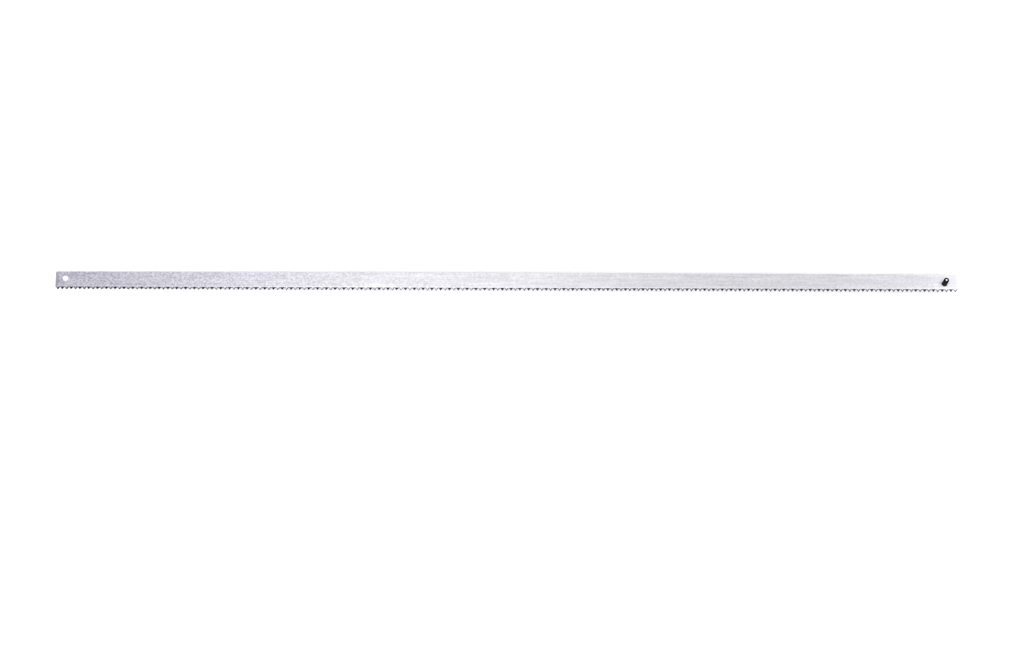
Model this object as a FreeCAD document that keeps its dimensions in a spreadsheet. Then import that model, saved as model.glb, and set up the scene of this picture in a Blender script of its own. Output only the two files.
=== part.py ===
import FreeCAD, Part
import os
import Sketcher
from FreeCAD import Vector

# A hand meat saw blade: a thin steel strip with a row of alternately set teeth along its
# lower edge, a plain round hole near the left end and a dark cross pin near the right end.
#
# Frame: millimetres, X along the blade from the hole to the pin, Y across it towards the
# back edge, Z up. The origin is the centre of the hole, half way through the thickness.

# Driving sizes, all in mm except the two tooth angles in degrees.
SIZES = [
    ("hole_to_pin", 635.0, "centre of the hole to centre of the pin, along the blade"),
    ("hole_end_margin", 7.0, "left end of the strip to the centre of the hole"),
    ("pin_end_margin", 9.4, "centre of the pin to the right end of the strip"),
    ("blade_width", 13.4, "back edge to the tooth tips"),
    ("blade_thickness", 0.5, "thickness of the strip"),
    ("corner_radius", 0.8, "rounding of the two back corners"),
    ("edge_break", 0.1, "bevel that takes the burr off the back edge"),
    ("hole_diameter", 4.2, "hole for the frame's hook"),
    ("hole_from_back", 5.2, "back edge to the centre of the hole"),
    ("pin_diameter", 3.8, "cross pin, where it stands clear of the blade"),
    ("seat_diameter", 4.2, "middle of the pin, swollen to fill the hole it is pressed into"),
    ("pin_from_tips", 6.2, "tooth tips to the centre of the pin"),
    ("pin_stub", 9.2, "length of pin standing clear of each face"),
    ("pin_chamfer", 0.5, "bevel around each end of the pin"),
    ("tooth_pitch", 3.175, "tooth tip to tooth tip, eight teeth to the inch"),
    ("tooth_depth", 1.85, "tooth tips to the floor of the gullets"),
    ("tip_land", 0.15, "narrow flat left on each tooth tip"),
    ("gullet_radius", 1.2, "curve of a gullet's floor"),
    ("front_angle", 30.0, "lean of the cutting flank, from square to the tip line"),
    ("back_angle", 36.0, "lean of the trailing flank, from square to the tip line"),
    ("set_depth", 1.1, "tooth tips to the line the teeth are bent along"),
    ("tooth_set", 0.3, "how far each tip is bent out of the strip"),
]
VALUE = {name: value for name, value, note in SIZES}

# Lengths that follow from the driving sizes, written as spreadsheet expressions.
BLADE_LENGTH = "(sizes.hole_end_margin + sizes.hole_to_pin + sizes.pin_end_margin)"
TOOTH_COUNT = "floor(" + BLADE_LENGTH + " / sizes.tooth_pitch + 0.001)"
ROW_MARGIN = "((" + BLADE_LENGTH + " - " + TOOTH_COUNT + " * sizes.tooth_pitch) / 2)"
ROW_START = "(" + ROW_MARGIN + " - sizes.hole_end_margin)"
TIP_LINE = "(sizes.blade_width - sizes.hole_from_back)"
BEND_LINE = "(sizes.blade_width - sizes.hole_from_back - sizes.set_depth)"
GULLET_GAP = "(sizes.tooth_pitch - sizes.tip_land)"
GULLET_RUNOUT = "(2 * sizes.blade_thickness)"
CUT_DEPTH = "(4 * (sizes.blade_thickness + sizes.tooth_set))"
PIN_LINE = "(sizes.hole_from_back - sizes.blade_width + sizes.pin_from_tips)"

# Names for the sketch solver's point numbers and its origin, and a right angle in radians.
START = 1
END = 2
CENTRE = 3
ORIGIN = -1
RIGHT = 1.5707963267948966


def add_sizes(doc):
    """Put every driving size in the spreadsheet, one row each."""
    sheet = doc.addObject("Spreadsheet::Sheet", "sizes")
    for row, (name, value, note) in enumerate(SIZES, start=1):
        sheet.set("A%d" % row, name)
        sheet.set("B%d" % row, "%g" % value)
        sheet.set("C%d" % row, note)
        sheet.setAlias("B%d" % row, name)
    return sheet


def add_body(doc, name):
    body = doc.addObject("PartDesign::Body", name)
    body.Label = name
    body.Placement = FreeCAD.Placement(Vector(0, 0, 0), FreeCAD.Rotation())
    return body


def origin_feature(body, role):
    for feature in body.Origin.OriginFeatures:
        if feature.Role == role:
            return feature
    raise ValueError("no origin feature " + role)


def add_sketch(body, name, role):
    """An empty sketch on one of the body's origin planes."""
    sketch = body.newObject("Sketcher::SketchObject", name)
    sketch.AttachmentSupport = [(origin_feature(body, role), "")]
    sketch.MapMode = "FlatFace"
    return sketch


def constrain(sketch, constraint, expression=None):
    """Add a constraint, bound to an expression where one is given."""
    index = sketch.addConstraint(constraint)
    if expression:
        sketch.setExpression("Constraints[%d]" % index, expression)
    return index


def add_circle(sketch, x, y, radius, x_expression, y_expression, radius_expression):
    """A circle in the sketch, its centre and radius bound to expressions."""
    circle = sketch.addGeometry(Part.Circle(Vector(x, y, 0), Vector(0, 0, 1), radius))
    constrain(sketch, Sketcher.Constraint("Radius", circle, radius), radius_expression)
    place_point(sketch, circle, CENTRE, x, y, x_expression, y_expression)
    return circle


def place_point(sketch, geometry, point, x, y, x_expression, y_expression):
    """Fix a point by its distances from the sketch origin; None leaves it on that axis."""
    if x_expression is None:
        constrain(sketch, Sketcher.Constraint("PointOnObject", geometry, point, -2))
    else:
        across = Sketcher.Constraint("DistanceX", ORIGIN, START, geometry, point, x)
        constrain(sketch, across, x_expression)
    if y_expression is None:
        constrain(sketch, Sketcher.Constraint("PointOnObject", geometry, point, -1))
    else:
        along = Sketcher.Constraint("DistanceY", ORIGIN, START, geometry, point, y)
        constrain(sketch, along, y_expression)


def add_pad(body, sketch, name, length, middle):
    pad = body.newObject("PartDesign::Pad", name)
    pad.Profile = sketch
    pad.setExpression("Length", length)
    pad.SideType = "Symmetric" if middle else "One side"
    return pad


def add_pocket(body, sketch, name):
    """Cut the sketch through everything, equally above and below the mid plane."""
    pocket = body.newObject("PartDesign::Pocket", name)
    pocket.Profile = sketch
    pocket.setExpression("Length", CUT_DEPTH)
    pocket.SideType = "Symmetric"
    return pocket


def add_row(body, feature, name, spacing, count):
    """Repeat a feature along the blade."""
    row = body.newObject("PartDesign::LinearPattern", name)
    row.Originals = [feature]
    row.Direction = (origin_feature(body, "X_Axis"), [""])
    row.Mode = "Spacing"
    row.setExpression("Offset", spacing)
    row.setExpression("Occurrences", count)
    body.Tip = row
    return row


def strip_outline(body):
    """The flat of the strip, from the bend line of the teeth to the back edge."""
    sketch = add_sketch(body, "strip_outline", "XY_Plane")
    left = -VALUE["hole_end_margin"]
    right = VALUE["hole_to_pin"] + VALUE["pin_end_margin"]
    back = VALUE["hole_from_back"]
    low = VALUE["hole_from_back"] - VALUE["blade_width"] + VALUE["set_depth"]
    radius = VALUE["corner_radius"]
    bottom_edge, right_edge, back_edge, left_edge = sketch.addGeometry([
        Part.LineSegment(Vector(left, low, 0), Vector(right, low, 0)),
        Part.LineSegment(Vector(right, low, 0), Vector(right, back - radius, 0)),
        Part.LineSegment(Vector(right - radius, back, 0), Vector(left + radius, back, 0)),
        Part.LineSegment(Vector(left, back - radius, 0), Vector(left, low, 0)),
    ])
    axis = Vector(0, 0, 1)
    right_circle = Part.Circle(Vector(right - radius, back - radius, 0), axis, radius)
    left_circle = Part.Circle(Vector(left + radius, back - radius, 0), axis, radius)
    right_corner = sketch.addGeometry(Part.ArcOfCircle(right_circle, 0, RIGHT))
    left_corner = sketch.addGeometry(Part.ArcOfCircle(left_circle, RIGHT, 2 * RIGHT))
    for first, first_point, second, second_point in (
            (bottom_edge, END, right_edge, START),
            (left_edge, END, bottom_edge, START)):
        constrain(sketch, Sketcher.Constraint(
            "Coincident", first, first_point, second, second_point))
    for first, first_point, second, second_point in (
            (right_edge, END, right_corner, START),
            (right_corner, END, back_edge, START),
            (back_edge, END, left_corner, START),
            (left_corner, END, left_edge, START)):
        constrain(sketch, Sketcher.Constraint(
            "Tangent", first, first_point, second, second_point))
    constrain(sketch, Sketcher.Constraint("Horizontal", bottom_edge))
    constrain(sketch, Sketcher.Constraint("Horizontal", back_edge))
    constrain(sketch, Sketcher.Constraint("Vertical", right_edge))
    constrain(sketch, Sketcher.Constraint("Vertical", left_edge))
    constrain(sketch, Sketcher.Constraint("Equal", left_corner, right_corner))
    constrain(sketch, Sketcher.Constraint("Radius", left_corner, radius), "sizes.corner_radius")
    constrain(sketch, Sketcher.Constraint(
        "DistanceX", bottom_edge, START, ORIGIN, START, -left), "sizes.hole_end_margin")
    constrain(sketch, Sketcher.Constraint(
        "DistanceX", bottom_edge, START, bottom_edge, END, right - left), BLADE_LENGTH)
    constrain(sketch, Sketcher.Constraint(
        "DistanceY", bottom_edge, START, ORIGIN, START, -low), BEND_LINE)
    constrain(sketch, Sketcher.Constraint(
        "DistanceY", ORIGIN, START, back_edge, START, back), "sizes.hole_from_back")
    return sketch


def bent_slab(body, name, side, start):
    """One pitch of strip below the bend line, leaning to one side of the mid plane.

    The sketch is the cross-section: level with the strip at the bend line and moved by
    the tooth set at the tips, so the steel keeps its thickness through the bend.
    """
    sketch = add_sketch(body, name + "_section", "YZ_Plane")
    sketch.setExpression("AttachmentOffset.Base.z", start)
    half = VALUE["blade_thickness"] / 2
    shift = side * VALUE["tooth_set"]
    tip = VALUE["hole_from_back"] - VALUE["blade_width"]
    bend = tip + VALUE["set_depth"]
    corners = [
        Vector(tip, shift - half, 0),
        Vector(bend, -half, 0),
        Vector(bend, half, 0),
        Vector(tip, shift + half, 0),
    ]
    lines = []
    for index, corner in enumerate(corners):
        following = corners[(index + 1) % 4]
        lines.append(sketch.addGeometry(Part.LineSegment(corner, following)))
    for index, line in enumerate(lines):
        following = lines[(index + 1) % 4]
        constrain(sketch, Sketcher.Constraint("Coincident", line, END, following, START))
    lower_face, bend_side, upper_face, tip_side = lines
    constrain(sketch, Sketcher.Constraint("Vertical", tip_side))
    constrain(sketch, Sketcher.Constraint("Equal", bend_side, tip_side))
    constrain(sketch, Sketcher.Constraint(
        "Symmetric", bend_side, START, bend_side, END, -1))
    constrain(sketch, Sketcher.Constraint(
        "DistanceY", bend_side, START, bend_side, END, 2 * half), "sizes.blade_thickness")
    constrain(sketch, Sketcher.Constraint(
        "DistanceX", bend_side, START, ORIGIN, START, -bend), BEND_LINE)
    constrain(sketch, Sketcher.Constraint(
        "DistanceX", lower_face, START, lower_face, END, bend - tip), "sizes.set_depth")
    if side > 0:
        rise = Sketcher.Constraint("DistanceY", upper_face, START, upper_face, END, shift)
    else:
        rise = Sketcher.Constraint("DistanceY", upper_face, END, upper_face, START, -shift)
    constrain(sketch, rise, "sizes.tooth_set")
    return add_pad(body, sketch, name, "sizes.tooth_pitch", False)


def gullet_outline(body):
    """The gap between two teeth: two straight flanks that run up to an arched floor."""
    sketch = add_sketch(body, "gullet_outline", "XY_Plane")
    pitch = VALUE["tooth_pitch"]
    length = VALUE["hole_end_margin"] + VALUE["hole_to_pin"] + VALUE["pin_end_margin"]
    spare = length - int(length / pitch + 0.001) * pitch
    middle = spare / 2 - VALUE["hole_end_margin"]
    tip = VALUE["hole_from_back"] - VALUE["blade_width"]
    half = (pitch - VALUE["tip_land"]) / 2
    radius = VALUE["gullet_radius"]
    height = VALUE["tooth_depth"] - radius
    below = tip - 2 * VALUE["blade_thickness"]
    centre = Vector(middle, tip + height, 0)
    arc = Part.ArcOfCircle(Part.Circle(centre, Vector(0, 0, 1), radius), RIGHT / 2, RIGHT * 1.5)
    trailing_foot = Vector(middle - half, tip, 0)
    cutting_foot = Vector(middle + half, tip, 0)
    trailing_runout = Vector(middle - half, below, 0)
    cutting_runout = Vector(middle + half, below, 0)
    trailing, floor, cutting, cutting_run, closing, trailing_run = sketch.addGeometry([
        Part.LineSegment(trailing_foot, arc.EndPoint),
        arc,
        Part.LineSegment(arc.StartPoint, cutting_foot),
        Part.LineSegment(cutting_foot, cutting_runout),
        Part.LineSegment(cutting_runout, trailing_runout),
        Part.LineSegment(trailing_runout, trailing_foot),
    ])
    for first, first_point, second, second_point in (
            (trailing, END, floor, END),
            (floor, START, cutting, START),
            (cutting, END, cutting_run, START),
            (cutting_run, END, closing, START),
            (closing, END, trailing_run, START),
            (trailing_run, END, trailing, START)):
        constrain(sketch, Sketcher.Constraint(
            "Coincident", first, first_point, second, second_point))
    constrain(sketch, Sketcher.Constraint("Vertical", cutting_run))
    constrain(sketch, Sketcher.Constraint("Vertical", trailing_run))
    constrain(sketch, Sketcher.Constraint("Horizontal", closing))
    constrain(sketch, Sketcher.Constraint("Radius", floor, radius), "sizes.gullet_radius")
    constrain(sketch, Sketcher.Constraint(
        "DistanceX", closing, END, closing, START, 2 * half), GULLET_GAP)
    constrain(sketch, Sketcher.Constraint(
        "DistanceX", trailing_run, END, floor, CENTRE, half), GULLET_GAP + " / 2")
    constrain(sketch, Sketcher.Constraint(
        "DistanceX", floor, CENTRE, ORIGIN, START, -middle), "-" + ROW_START)
    constrain(sketch, Sketcher.Constraint(
        "DistanceY", trailing_run, START, trailing_run, END, tip - below), GULLET_RUNOUT)
    constrain(sketch, Sketcher.Constraint(
        "DistanceY", cutting_run, END, cutting_run, START, tip - below), GULLET_RUNOUT)
    constrain(sketch, Sketcher.Constraint(
        "DistanceY", trailing, START, ORIGIN, START, -tip), TIP_LINE)
    constrain(sketch, Sketcher.Constraint(
        "DistanceY", trailing, START, floor, CENTRE, height),
        "sizes.tooth_depth - sizes.gullet_radius")
    lean = RIGHT / 90 * VALUE["back_angle"]
    constrain(sketch, Sketcher.Constraint("Angle", trailing, RIGHT - lean),
              "90 deg - sizes.back_angle * 1 deg")
    lean = RIGHT / 90 * VALUE["front_angle"]
    constrain(sketch, Sketcher.Constraint("Angle", cutting, lean - RIGHT),
              "sizes.front_angle * 1 deg - 90 deg")
    return sketch


def add_bevel(body, feature, name, edges, size):
    bevel = body.newObject("PartDesign::Chamfer", name)
    bevel.Base = (feature, edges)
    bevel.setExpression("Size", size)
    return bevel


def back_edges(shape):
    """Names of the upper and lower edges that run along the back and round its corners."""
    limit = VALUE["hole_from_back"] - VALUE["corner_radius"] - 0.001
    names = []
    for index, edge in enumerate(shape.Edges, start=1):
        box = edge.BoundBox
        if box.YMin > limit and box.ZLength < 0.001:
            names.append("Edge%d" % index)
    return names


def round_edges(shape):
    """Names of the full circles of a rod."""
    names = []
    for index, edge in enumerate(shape.Edges, start=1):
        if edge.Closed:
            names.append("Edge%d" % index)
    return names


def build_blade(doc):
    """The toothed strip: one piece of steel."""
    body = add_body(doc, "blade")
    strip = add_pad(body, strip_outline(body), "strip", "sizes.blade_thickness", True)
    doc.recompute()
    add_bevel(body, strip, "back_edge_bevel", back_edges(strip.Shape), "sizes.edge_break")
    doc.recompute()

    hole = add_sketch(body, "hole_outline", "XY_Plane")
    add_circle(hole, 0, 0, VALUE["hole_diameter"] / 2, None, None, "sizes.hole_diameter / 2")
    add_pocket(body, hole, "hole")
    doc.recompute()

    seat = add_sketch(body, "pin_seat_outline", "XY_Plane")
    offset = VALUE["hole_from_back"] - VALUE["blade_width"] + VALUE["pin_from_tips"]
    add_circle(seat, VALUE["hole_to_pin"], offset, VALUE["seat_diameter"] / 2,
               "sizes.hole_to_pin", PIN_LINE, "sizes.seat_diameter / 2")
    add_pocket(body, seat, "pin_seat")
    doc.recompute()

    # Teeth bent down and teeth bent up take turns; the row starts with one bent down.
    down = bent_slab(body, "down_slab", -1, ROW_START)
    doc.recompute()
    add_row(body, down, "down_slabs", "2 * sizes.tooth_pitch",
            "ceil(" + TOOTH_COUNT + " / 2)")
    doc.recompute()
    up = bent_slab(body, "up_slab", 1, ROW_START + " + sizes.tooth_pitch")
    doc.recompute()
    add_row(body, up, "up_slabs", "2 * sizes.tooth_pitch", "floor(" + TOOTH_COUNT + " / 2)")
    doc.recompute()

    gullet = add_pocket(body, gullet_outline(body), "gullet")
    doc.recompute()
    add_row(body, gullet, "gullets", "sizes.tooth_pitch", TOOTH_COUNT + " + 1")
    doc.recompute()
    return body


def build_pin(doc):
    """The cross pin, pressed through the blade and standing clear of both faces."""
    body = add_body(doc, "pin")
    stubs = add_sketch(body, "stub_outline", "XY_Plane")
    add_circle(stubs, 0, 0, VALUE["pin_diameter"] / 2, None, None, "sizes.pin_diameter / 2")
    rod = add_pad(body, stubs, "rod", "2 * sizes.pin_stub + sizes.blade_thickness", True)
    doc.recompute()
    add_bevel(body, rod, "end_bevels", round_edges(rod.Shape), "sizes.pin_chamfer")
    doc.recompute()

    middle = add_sketch(body, "middle_outline", "XY_Plane")
    add_circle(middle, 0, 0, VALUE["seat_diameter"] / 2, None, None, "sizes.seat_diameter / 2")
    add_pad(body, middle, "swollen_middle", "sizes.blade_thickness", True)
    body.setExpression("Placement.Base.x", "sizes.hole_to_pin")
    body.setExpression("Placement.Base.y", PIN_LINE)
    doc.recompute()
    return body


def check(doc, node):
    """Stop when a feature is broken, or when a node is not one sound solid."""
    for item in doc.Objects:
        if "Invalid" in item.State or "Error" in item.State:
            raise RuntimeError("broken feature: " + item.Name)
    shape = node.Shape
    if shape.isNull() or not shape.isValid() or len(shape.Solids) != 1:
        raise RuntimeError("not one sound solid: " + node.Label)


os.makedirs("parts", exist_ok=True)
doc = FreeCAD.newDocument("meat_saw_blade")
add_sizes(doc)
doc.recompute()
for node in (build_blade(doc), build_pin(doc)):
    check(doc, node)
    node.Shape.exportStep("parts/" + node.Label + ".step")
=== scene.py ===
import math

import bmesh
import bpy
from mathutils import Matrix, Vector


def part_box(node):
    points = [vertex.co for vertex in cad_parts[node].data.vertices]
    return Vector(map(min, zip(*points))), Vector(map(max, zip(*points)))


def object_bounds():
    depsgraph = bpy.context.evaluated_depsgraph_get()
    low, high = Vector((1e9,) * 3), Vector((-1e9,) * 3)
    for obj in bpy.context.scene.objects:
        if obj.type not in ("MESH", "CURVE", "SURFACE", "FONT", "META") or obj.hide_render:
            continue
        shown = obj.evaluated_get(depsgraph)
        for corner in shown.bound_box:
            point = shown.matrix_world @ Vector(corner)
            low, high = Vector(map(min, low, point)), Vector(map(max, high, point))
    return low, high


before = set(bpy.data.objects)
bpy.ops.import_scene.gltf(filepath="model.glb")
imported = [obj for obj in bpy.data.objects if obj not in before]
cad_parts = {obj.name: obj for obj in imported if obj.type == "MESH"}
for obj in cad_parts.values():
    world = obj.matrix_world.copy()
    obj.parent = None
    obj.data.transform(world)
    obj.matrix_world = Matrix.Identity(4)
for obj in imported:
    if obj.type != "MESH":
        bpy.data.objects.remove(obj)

# The meat saw blade lies on a white table under soft light, seen from its toothed side.
# Metres throughout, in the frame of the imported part: X from the hole to the pin, Y across
# the blade towards its back edge, Z up.

MM = 0.001
GULLET_DEPTH = 1.85 * MM
TOOTH_PITCH = 3.175 * MM
TOOTH_COUNT = 205
TIP_LAND = 0.15 * MM
FLANK_DEG = 33.0  # the mean of a tooth's front and back flank
TABLE_HALF_SIZE = 3.0

# Places read from the photograph, in its own pixels.
IMAGE_WIDTH = 1024
IMAGE_HEIGHT = 667
LEFT_END_PX = 55.7
RIGHT_END_PX = 957.5
MIDDLE_ROW_PX = 281.8
SLOPE_DEG = 0.183

# The camera looks down steeply, from a little to the toothed side.
ELEVATION_DEG = 74.0
DISTANCE_IN_WIDTHS = 2.55

# Light by its angle across the blade, in degrees from the horizon behind the back edge
# (0) over the top (90) to the horizon in front of the teeth (180). A dark card hangs
# behind the blade, and the teeth that lean up mirror it.
SKY_ACROSS = [(0, 0.5), (18, 0.3), (26, 0.01), (52, 0.01), (64, 0.75), (80, 0.84),
              (100, 0.98), (125, 1.0), (180, 1.0)]

# Light added along the blade, by the direction's own share of the X axis. It is added
# above an angle behind the blade, LIT_FROM to LIT_TO as shares of half a turn.
SKY_ALONG = [(-1.0, 1.6), (-0.6, 1.4), (-0.35, 0.0), (-0.19, 0.0), (-0.147, 0.1),
             (-0.125, 0.45), (-0.10, 0.88), (-0.07, 1.15), (-0.035, 1.25), (-0.005, 1.1),
             (0.033, 0.89), (0.055, 0.37), (0.10, 0.35), (0.125, 0.30), (0.15, 0.47),
             (0.165, 1.0), (0.22, 1.6), (0.6, 1.5), (1.0, 1.6)]
LIT_FROM = 0.30
LIT_TO = 0.36
LIGHT_TINT = (0.98, 0.985, 1.0, 1.0)

# Width in mm of the painted shade on a tooth's flank, by its share of the way from the
# hole's end to the pin's end: the painted shade is wider at the ends and past the middle.
SHADED_FLANK_WIDTHS = [(0.0, 0.7), (0.15, 0.48), (0.42, 0.38), (0.60, 0.65), (0.72, 0.65),
                (1.0, 0.55)]

# Colours of the blade. The cool pair is that of the end by the hole.
STEEL_DARK = (0.39, 0.378, 0.41, 1.0)
STEEL_LIGHT = (0.985, 0.972, 1.0, 1.0)
COOL_DARK = (0.36, 0.345, 0.48, 1.0)
COOL_LIGHT = (0.96, 0.94, 1.0, 1.0)
HANDLED_GREY = (0.25, 0.25, 0.24, 1.0)
# A pale colour, painted as a highlight by the pin and as a pale line above the gullets.
PAINTED_PALE = (0.98, 0.98, 1.0, 1.0)
# Painted shade for the teeth.
TOOTH_SHADE_PAINT = (0.015, 0.015, 0.025, 1.0)
CUT_EDGE = (0.72, 0.72, 0.76, 1.0)
GULLET_EDGE = (0.03, 0.03, 0.05, 1.0)

# Colours of the pin and the table.
PIN_BLACK = (0.001, 0.001, 0.0015, 1.0)
PIN_SMUDGE = (0.004, 0.004, 0.005, 1.0)
# Bright metal painted on the pin's ends as a highlight.
PIN_HIGHLIGHT = (0.97, 0.97, 0.98, 1.0)
TABLE_DULL = (0.87, 0.87, 0.87, 1.0)
TABLE_WHITE = (0.89, 0.89, 0.89, 1.0)

cad_low, cad_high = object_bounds()
cad_low, cad_high = Vector(cad_low), Vector(cad_high)
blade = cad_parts["blade"]
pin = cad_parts["pin"]
blade_low, blade_high = (Vector(corner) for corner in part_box("blade"))
pin_low, pin_high = (Vector(corner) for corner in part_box("pin"))
gullet_line = blade_low.y + GULLET_DEPTH
blade_length = blade_high.x - blade_low.x
blade_middle = Vector((
    (blade_low.x + blade_high.x) / 2,
    (blade_low.y + blade_high.y) / 2,
    0.0,
))


def new_material(name):
    """A node material with an empty tree, its shader and its output."""
    material = bpy.data.materials.new(name)
    material.use_nodes = True
    nodes = material.node_tree.nodes
    nodes.clear()
    output = nodes.new("ShaderNodeOutputMaterial")
    shader = nodes.new("ShaderNodeBsdfPrincipled")
    material.node_tree.links.new(shader.outputs["BSDF"], output.inputs["Surface"])
    return material, shader


class Tree:
    """Short ways to add nodes to one material."""

    def __init__(self, material):
        self.nodes = material.node_tree.nodes
        self.links = material.node_tree.links
        coordinates = self.nodes.new("ShaderNodeTexCoord")
        self.place = coordinates.outputs["Object"]
        self.generated = coordinates.outputs["Generated"]

    def set(self, socket, value):
        """Link a socket, or give it a constant."""
        if isinstance(value, bpy.types.NodeSocket):
            self.links.new(value, socket)
        else:
            socket.default_value = value

    def stretched(self, scale):
        """Object coordinates, in metres, times a scale on each axis."""
        node = self.nodes.new("ShaderNodeMapping")
        self.links.new(self.place, node.inputs["Vector"])
        node.inputs["Scale"].default_value = scale
        return node.outputs["Vector"]

    def noise(self, scale, detail=3.0, roughness=0.5):
        """Noise whose grains measure about one over the scale on each axis."""
        node = self.nodes.new("ShaderNodeTexNoise")
        self.links.new(self.stretched(scale), node.inputs["Vector"])
        node.inputs["Scale"].default_value = 1.0
        node.inputs["Detail"].default_value = detail
        node.inputs["Roughness"].default_value = roughness
        return node.outputs["Fac"]

    def math(self, operation, first, second=0.0):
        node = self.nodes.new("ShaderNodeMath")
        node.operation = operation
        self.set(node.inputs[0], first)
        self.set(node.inputs[1], second)
        return node.outputs["Value"]

    def centred(self, value):
        """A value between 0 and 1, moved to lie around 0."""
        return self.math("SUBTRACT", value, 0.5)

    def ramp(self, value, low, high, start=0.0, end=1.0):
        """Run from start to end as the value goes from low to high."""
        node = self.nodes.new("ShaderNodeMapRange")
        node.clamp = True
        self.set(node.inputs["Value"], value)
        node.inputs["From Min"].default_value = low
        node.inputs["From Max"].default_value = high
        node.inputs["To Min"].default_value = start
        node.inputs["To Max"].default_value = end
        return node.outputs["Result"]

    def steps(self, value, stops):
        """Run through levels at given places between 0 and 1, straight in between."""
        node = self.nodes.new("ShaderNodeFloatCurve")
        curve = node.mapping.curves[0]
        top = max(level for place, level in stops)
        for place, level in stops[1:-1]:
            curve.points.new(place, level / top)
        curve.points[0].location = (stops[0][0], stops[0][1] / top)
        curve.points[len(stops) - 1].location = (stops[-1][0], stops[-1][1] / top)
        for point in curve.points:
            point.handle_type = "VECTOR"
        node.mapping.update()
        self.set(node.inputs["Value"], value)
        return self.math("MULTIPLY", node.outputs["Value"], top)

    def mix(self, factor, first, second):
        """Blend two colours."""
        node = self.nodes.new("ShaderNodeMix")
        node.data_type = "RGBA"
        self.set(node.inputs["Factor"], factor)
        self.set(node.inputs[6], first)
        self.set(node.inputs[7], second)
        return node.outputs[2]

    def normal(self):
        """The true direction that a face looks in."""
        return self.nodes.new("ShaderNodeNewGeometry").outputs["True Normal"]

    def away_from_pin(self):
        """Distance from the pin's centre line."""
        centre = (pin_low + pin_high) / 2
        aside = self.math("SUBTRACT", self.axis(self.place, "X"), centre.x)
        across = self.math("SUBTRACT", self.axis(self.place, "Y"), centre.y)
        squared = self.math("ADD", self.math("MULTIPLY", aside, aside),
                            self.math("MULTIPLY", across, across))
        return self.math("SQRT", squared)

    def axis(self, vector, name):
        node = self.nodes.new("ShaderNodeSeparateXYZ")
        self.links.new(vector, node.inputs["Vector"])
        return node.outputs[name]

    def constant_vector(self, x, y, z):
        node = self.nodes.new("ShaderNodeCombineXYZ")
        for socket, value in zip(node.inputs, (x, y, z)):
            socket.default_value = value
        return node.outputs["Vector"]

    def bump(self, height, strength, distance, normal=None):
        node = self.nodes.new("ShaderNodeBump")
        node.inputs["Strength"].default_value = strength
        node.inputs["Distance"].default_value = distance
        self.links.new(height, node.inputs["Height"])
        if normal:
            self.links.new(normal, node.inputs["Normal"])
        return node.outputs["Normal"]


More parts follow.
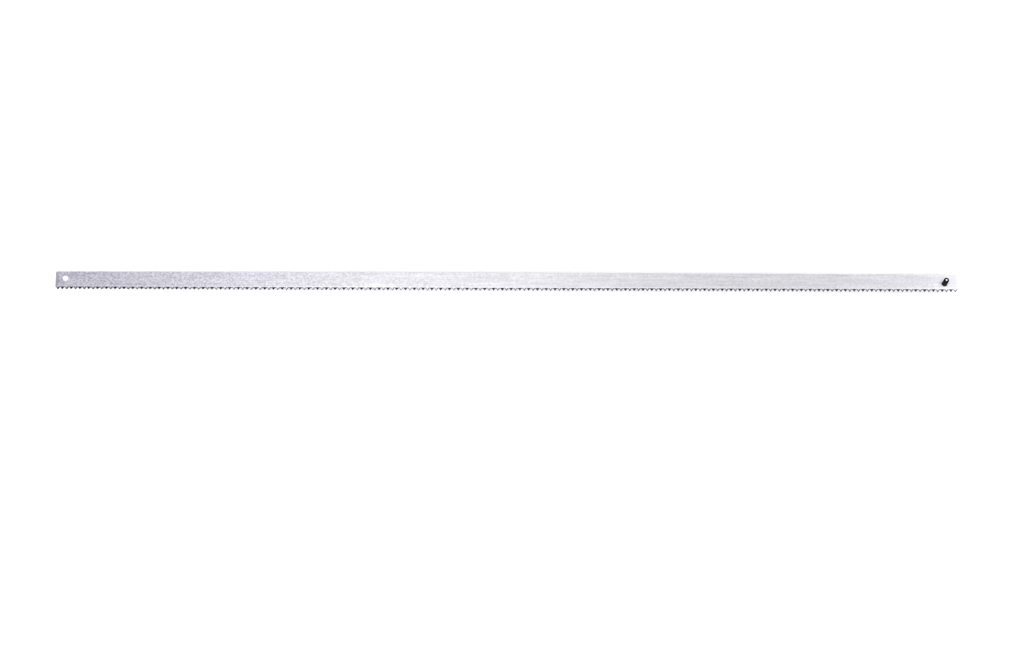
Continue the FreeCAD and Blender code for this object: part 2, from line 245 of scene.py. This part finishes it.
def blade_steel():
    """Bright strip steel, ground along its length, with dark cut edges on the teeth."""
    material, shader = new_material("blade_steel_ground")
    tree = Tree(material)
    along = tree.axis(tree.place, "X")
    across = tree.axis(tree.place, "Y")

    # Fine scratches and wider drawn streaks along the blade, and a mottle that is
    # strongest by the hole.
    grind = tree.noise((45.0, 4200.0, 4200.0), detail=4.0, roughness=0.62)
    mottle = tree.noise((560.0, 680.0, 680.0), detail=5.0, roughness=0.75)
    patches = tree.centred(tree.noise((140.0, 160.0, 160.0), detail=2.0))
    faded = tree.ramp(along, blade_low.x, blade_low.x + 0.6 * blade_length, 1.0, 0.3)
    drawn = tree.noise((25.0, 900.0, 900.0))
    streak = tree.math("ADD", tree.centred(grind), tree.centred(drawn))
    blotch = tree.math("MULTIPLY", tree.centred(mottle), faded)
    tone = tree.math("ADD", tree.math("MULTIPLY", streak, 0.5),
                     tree.math("MULTIPLY", blotch, 2.8))
    tone = tree.math("ADD", tone, tree.math("MULTIPLY", patches, 0.25))
    cool = tree.ramp(along, blade_low.x, blade_low.x + 0.35 * blade_length, 1.0, 0.0)
    dark = tree.mix(cool, STEEL_DARK, COOL_DARK)
    light = tree.mix(cool, STEEL_LIGHT, COOL_LIGHT)
    face = tree.mix(tree.ramp(tone, -0.5, 0.5), dark, light)

    # Handling has dulled the very end by the hole, as far as an uneven line.
    reach = tree.math("ADD", along, tree.math("MULTIPLY", patches, 4 * MM))
    handled = tree.ramp(reach, blade_low.x + 3.5 * MM, blade_low.x + 1.5 * MM)
    face = tree.mix(tree.math("MULTIPLY", handled, 0.35), face, HANDLED_GREY)

    # Around the pin and beyond it the blade is dull, and painted pale as a highlight of that
    # end.
    round_pin = tree.ramp(tree.away_from_pin(), 5 * MM, 8 * MM, 1.0, 0.0)
    beyond_pin = tree.ramp(along, pin_low.x, pin_high.x)
    dulled_and_glare = tree.math("MAXIMUM", round_pin, beyond_pin)
    face = tree.mix(tree.math("MULTIPLY", dulled_and_glare, 0.15), face, PAINTED_PALE)

    # How far a place lies inside the outline of the nearest tooth. The flank is painted
    # dark, as shade, to a certain width from there.
    spare = (blade_length - TOOTH_COUNT * TOOTH_PITCH) / 2
    first_tooth = blade_low.x + spare
    turns = tree.math("DIVIDE", tree.math("SUBTRACT", along, first_tooth), TOOTH_PITCH)
    aside = tree.math("ABSOLUTE", tree.centred(tree.math("FRACT", turns)))
    above_tip = tree.math("SUBTRACT", across, blade_low.y)
    spread = tree.math("MULTIPLY", above_tip, math.tan(math.radians(FLANK_DEG)))
    half_width = tree.math("ADD", spread, TIP_LAND / 2)
    inside = tree.math("SUBTRACT", half_width, tree.math("MULTIPLY", aside, TOOTH_PITCH))
    share = tree.ramp(along, blade_low.x, blade_high.x)
    width = tree.math("MULTIPLY", tree.steps(share, SHADED_FLANK_WIDTHS), MM)
    shaded_flank = tree.math("LESS_THAN", inside, width)

    # Neighbouring teeth have their bevels on opposite sides, so each face shows every other
    # bevel, painted dark as shade.
    pairs = tree.math("FRACT", tree.math("MULTIPLY", turns, 0.5))
    even = tree.math("GREATER_THAN", pairs, 0.5)
    above = tree.math("GREATER_THAN", tree.axis(tree.normal(), "Z"), 0.0)
    shaded_bevel = tree.math("COMPARE", even, above)

    # Faces that don't lie flat are cut edges: gullets, flanks, ends and the hole's wall.
    upright = tree.math("ABSOLUTE", tree.axis(tree.normal(), "Z"))
    cut = tree.ramp(upright, 0.35, 0.6, 1.0, 0.0)
    toothed = tree.ramp(across, gullet_line + 0.2 * MM, gullet_line + 0.05 * MM)
    edge = tree.mix(toothed, CUT_EDGE, GULLET_EDGE)

    # A pale line is painted above the gullets, and the teeth get painted shade up to their
    # roots.
    pale_band = tree.math(
        "MULTIPLY",
        tree.ramp(across, gullet_line + 1.3 * MM, gullet_line + 0.9 * MM),
        tree.ramp(across, gullet_line, gullet_line + 0.2 * MM),
    )
    face = tree.mix(tree.math("MULTIPLY", pale_band, 0.4), face, PAINTED_PALE)
    rooted = tree.ramp(across, gullet_line + 0.35 * MM, gullet_line + 0.05 * MM)
    painted_tooth_shade = tree.math("MULTIPLY", rooted, tree.math("MAXIMUM", shaded_flank, shaded_bevel))
    face = tree.mix(tree.math("MULTIPLY", painted_tooth_shade, 0.98), face, TOOTH_SHADE_PAINT)
    tree.set(shader.inputs["Base Color"], tree.mix(cut, face, edge))

    # The ground face stretches its reflections along the blade; where it is dull by the pin,
    # not.
    tree.set(shader.inputs["Metallic"], tree.ramp(dulled_and_glare, 0.0, 1.0, 1.0, 0.5))
    rough = tree.math("ADD", tree.ramp(grind, 0.2, 0.8, 0.28, 0.36),
                      tree.math("MULTIPLY", blotch, 0.12))
    rough = tree.math("ADD", rough, tree.math("MULTIPLY", dulled_and_glare, 0.35))
    tree.set(shader.inputs["Roughness"], rough)
    tree.set(shader.inputs["Anisotropic"], tree.math("SUBTRACT", 1.0, dulled_and_glare))
    tree.links.new(tree.constant_vector(0.0, 1.0, 0.0), shader.inputs["Tangent"])
    scratches = tree.bump(grind, 0.25, 0.02 * MM)
    tree.set(shader.inputs["Normal"], tree.bump(mottle, 0.2, 0.03 * MM, scratches))
    return material


def pin_steel():
    """Blackened steel, with a bright metal spot painted as a highlight on the flat of its
    ends.
    """
    material, shader = new_material("pin_steel_black")
    tree = Tree(material)
    smudge = tree.noise((900.0, 900.0, 900.0), detail=4.0, roughness=0.6)
    rings = tree.noise((300.0, 300.0, 9000.0))

    # The painted highlight spot is round and sits on the flat of each end only.
    upright = tree.math("ABSOLUTE", tree.axis(tree.normal(), "Z"))
    end = tree.ramp(upright, 0.9, 0.98)
    height = tree.math("ABSOLUTE", tree.axis(tree.place, "Z"))
    beyond = tree.ramp(height, pin_high.z - 0.1 * MM, pin_high.z - 0.05 * MM)
    spot = tree.ramp(tree.away_from_pin(), 0.4 * MM, 0.65 * MM, 1.0, 0.0)
    highlight_spot = tree.math("MULTIPLY", spot, tree.math("MULTIPLY", end, beyond))
    black = tree.mix(tree.ramp(smudge, 0.3, 0.7), PIN_BLACK, PIN_SMUDGE)
    tree.set(shader.inputs["Base Color"], tree.mix(highlight_spot, black, PIN_HIGHLIGHT))
    tree.set(shader.inputs["Metallic"], highlight_spot)
    tree.set(shader.inputs["Roughness"], tree.ramp(smudge, 0.25, 0.75, 0.36, 0.5))
    shader.inputs["Specular IOR Level"].default_value = 0.01
    tree.set(shader.inputs["Normal"], tree.bump(rings, 0.2, 0.02 * MM))
    return material


def table_top():
    """Plain white card, a little mottled."""
    material, shader = new_material("table_white")
    tree = Tree(material)
    mottle = tree.ramp(tree.noise((30.0, 30.0, 30.0)), 0.3, 0.7)
    tree.set(shader.inputs["Base Color"], tree.mix(mottle, TABLE_DULL, TABLE_WHITE))
    shader.inputs["Roughness"].default_value = 0.9
    return material


def give(node, material):
    """Put a material in every slot of a node of the frame."""
    for index in range(len(node.data.materials)):
        node.data.materials[index] = material


def table_plane():
    """Where the part comes to rest: on its left end and on the pin's lower end."""
    left = Vector((blade_low.x, 0.0, blade_low.z))
    right = Vector((pin_high.x, 0.0, pin_low.z))
    return left, math.atan2(right.z - left.z, right.x - left.x)


def add_table():
    """A wide flat top under the part, leaning by the little that the part tilts."""
    left, lean = table_plane()
    mesh = bpy.data.meshes.new("table")
    shape = bmesh.new()
    corners = [shape.verts.new((x * TABLE_HALF_SIZE, y * TABLE_HALF_SIZE, 0.0))
               for x, y in ((-1, -1), (1, -1), (1, 1), (-1, 1))]
    shape.faces.new(corners)
    shape.to_mesh(mesh)
    shape.free()
    table = bpy.data.objects.new("table", mesh)
    bpy.context.scene.collection.objects.link(table)
    table.location = left
    table.rotation_euler = (0.0, -lean, 0.0)
    mesh.materials.append(table_top())


def add_lights():
    """Soft light all round, with a dark card behind the blade for the teeth to mirror."""
    world = bpy.data.worlds.new("studio")
    bpy.context.scene.world = world
    world.use_nodes = True
    tree = Tree(world)
    direction = tree.generated
    x = tree.axis(direction, "X")
    y = tree.axis(direction, "Y")
    z = tree.axis(direction, "Z")
    angle = tree.math("DIVIDE", tree.math("ARCTAN2", tree.math("ABSOLUTE", z), y), math.pi)
    across = tree.steps(angle, [(degrees / 180.0, level) for degrees, level in SKY_ACROSS])
    share = tree.math("MULTIPLY", tree.math("ADD", x, 1.0), 0.5)
    along = tree.steps(share, [((place + 1.0) / 2.0, level) for place, level in SKY_ALONG])
    lit = tree.ramp(angle, LIT_FROM, LIT_TO)
    total = tree.math("ADD", across, tree.math("MULTIPLY", along, lit))
    background = tree.nodes["Background"]
    tree.links.new(total, background.inputs["Strength"])
    background.inputs["Color"].default_value = LIGHT_TINT


def add_camera():
    """A long lens over the middle of the blade, framed as the photograph is."""
    data = bpy.data.cameras.new("camera")
    camera = bpy.data.objects.new("camera", data)
    bpy.context.scene.collection.objects.link(camera)
    metres_per_pixel = blade_length / (RIGHT_END_PX - LEFT_END_PX)
    width = IMAGE_WIDTH * metres_per_pixel
    distance = DISTANCE_IN_WIDTHS * width
    data.sensor_fit = "HORIZONTAL"
    data.sensor_width = 36.0
    data.lens = data.sensor_width * DISTANCE_IN_WIDTHS
    data.clip_start = 0.01
    data.clip_end = 20.0

    lift = math.radians(ELEVATION_DEG)
    look = Vector((0.0, math.cos(lift), -math.sin(lift)))
    right = Vector((1.0, 0.0, 0.0))
    up = right.cross(look)
    roll = math.radians(SLOPE_DEG)
    right, up = (right * math.cos(roll) + up * math.sin(roll),
                 up * math.cos(roll) - right * math.sin(roll))
    turn = Matrix((right, up, -look)).transposed()
    camera.rotation_euler = turn.to_euler()
    aside = ((LEFT_END_PX + RIGHT_END_PX) / 2 - IMAGE_WIDTH / 2) * metres_per_pixel
    above = (IMAGE_HEIGHT / 2 - MIDDLE_ROW_PX) * metres_per_pixel
    camera.location = blade_middle - look * distance - right * aside - up * above
    bpy.context.scene.camera = camera


give(blade, blade_steel())
give(pin, pin_steel())
add_table()
add_lights()
add_camera()
bpy.context.scene.view_settings.view_transform = "Standard"
